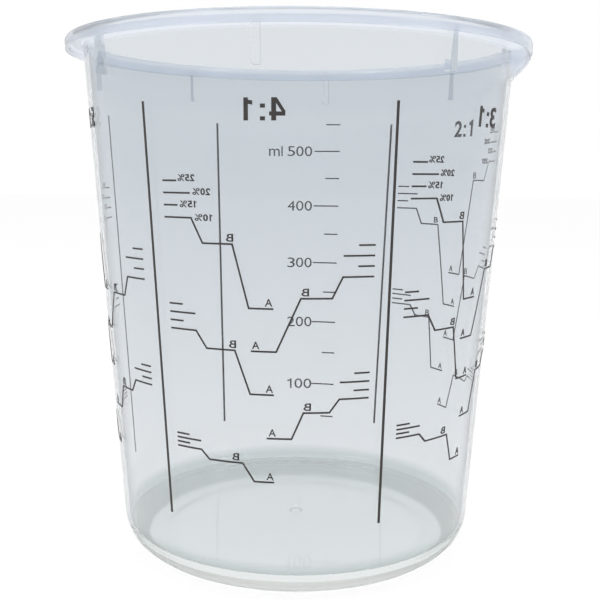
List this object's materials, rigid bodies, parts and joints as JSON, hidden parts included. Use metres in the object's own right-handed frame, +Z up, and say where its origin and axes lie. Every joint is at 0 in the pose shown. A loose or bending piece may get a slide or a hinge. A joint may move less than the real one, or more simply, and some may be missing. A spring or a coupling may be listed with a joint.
{
  "type": "resin mixing cup",
  "caption": "Tapered translucent mixing cup with a flanged, ribbed rim, a pouring spout, printed ratio panels and a millilitre scale.",
  "frame": {"origin": "middle of the foot, on the surface the cup stands on", "axes": "+Z up along the cup's axis, towards the rim; -Y towards the viewer of the picture; the spout points near +X"},
  "size_m": [0.1042, 0.1042, 0.1157],
  "materials": {
    "cup_plastic": "translucent moulded plastic, smooth, faintly bluish",
    "ink": "opaque dark printing ink"
  },
  "bodies": {
    "root": {"cup": "cup_plastic", "panel_dividers": "ink", "millilitre_scale": "ink", "ratio_2_1_marks": "ink", "ratio_3_1_marks": "ink", "ratio_4_1_marks": "ink", "ratio_5_1_marks": "ink"}
  },
  "joints": []
}
